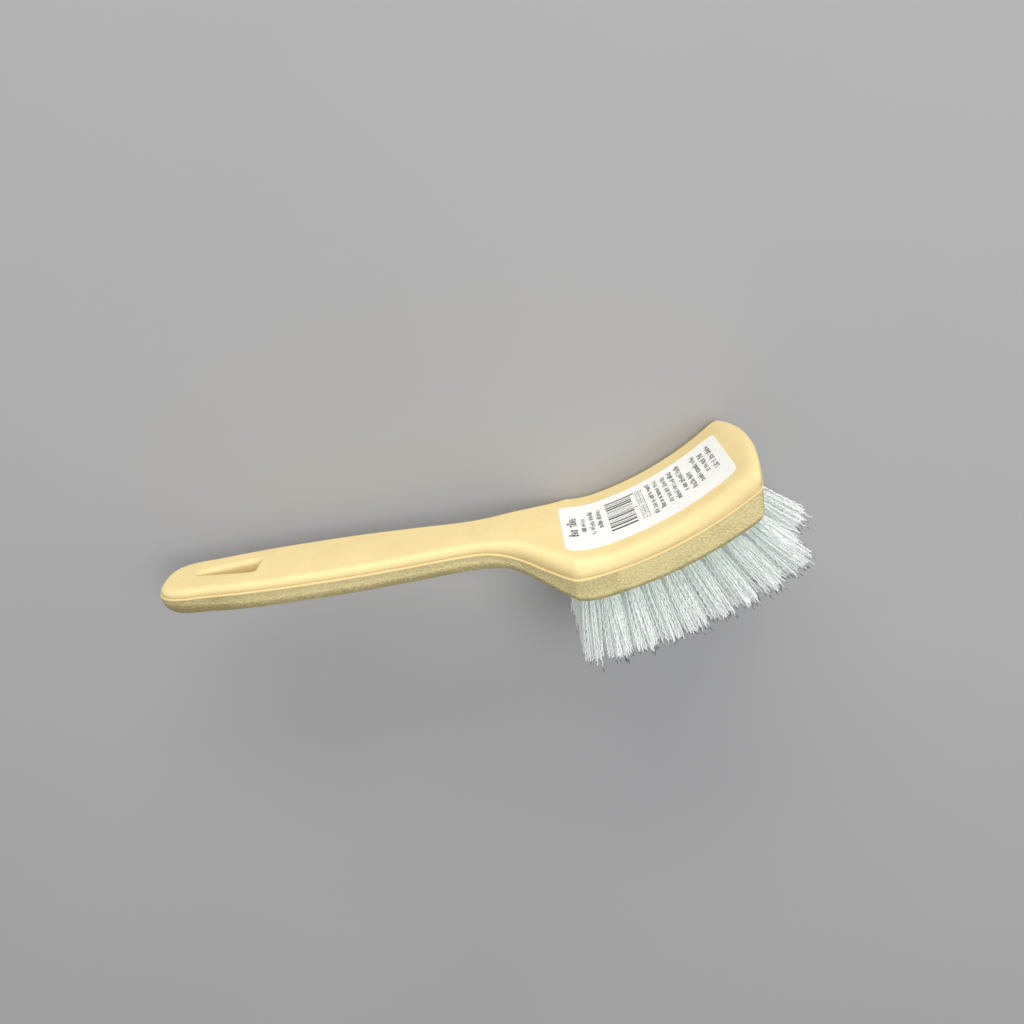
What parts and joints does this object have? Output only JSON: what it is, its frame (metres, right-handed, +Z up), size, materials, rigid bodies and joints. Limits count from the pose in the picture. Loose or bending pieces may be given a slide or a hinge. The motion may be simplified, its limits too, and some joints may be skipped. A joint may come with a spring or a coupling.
{
  "type": "hand scrub brush",
  "caption": "Hand scrub brush lying on its side: moulded handle and curved block in one piece, hang slot, paper label on the concave back, fanned rows of stiff filament tufts.",
  "frame": {"origin": "middle of the base of the bounding box, on the surface that the block's side lies on", "axes": "+X from the handle's end to the block's nose, +Y from the bristles to the labelled back, +Z up, across the brush's width"},
  "size_m": [0.2244, 0.0656, 0.0602],
  "materials": {
    "moulding": "tan structural-foam plastic, finely pebbled below the parting line",
    "label_paper": "white coated paper with grey print",
    "filament": "translucent white crimped nylon"
  },
  "bodies": {
    "root": {"handle_block": "moulding", "label": "label_paper", "tuft_1_01": "filament", "tuft_1_02": "filament", "tuft_1_03": "filament", "tuft_1_04": "filament", "tuft_1_05": "filament", "tuft_1_06": "filament", "tuft_1_07": "filament", "tuft_1_08": "filament", "tuft_1_09": "filament", "tuft_2_01": "filament", "tuft_2_02": "filament", "tuft_2_03": "filament", "tuft_2_04": "filament", "tuft_2_05": "filament", "tuft_2_06": "filament", "tuft_2_07": "filament", "tuft_2_08": "filament", "tuft_2_09": "filament", "tuft_3_01": "filament", "tuft_3_02": "filament", "tuft_3_03": "filament", "tuft_3_04": "filament", "tuft_3_05": "filament", "tuft_3_06": "filament", "tuft_3_07": "filament", "tuft_3_08": "filament", "tuft_3_09": "filament", "tuft_3_10": "filament", "tuft_4_01": "filament", "tuft_4_02": "filament", "tuft_4_03": "filament", "tuft_4_04": "filament", "tuft_4_05": "filament", "tuft_4_06": "filament", "tuft_4_07": "filament", "tuft_4_08": "filament", "tuft_4_09": "filament", "tuft_5_01": "filament", "tuft_5_02": "filament", "tuft_5_03": "filament", "tuft_5_04": "filament", "tuft_5_05": "filament", "tuft_5_06": "filament", "tuft_5_07": "filament", "tuft_5_08": "filament", "tuft_5_09": "filament"}
  },
  "joints": []
}
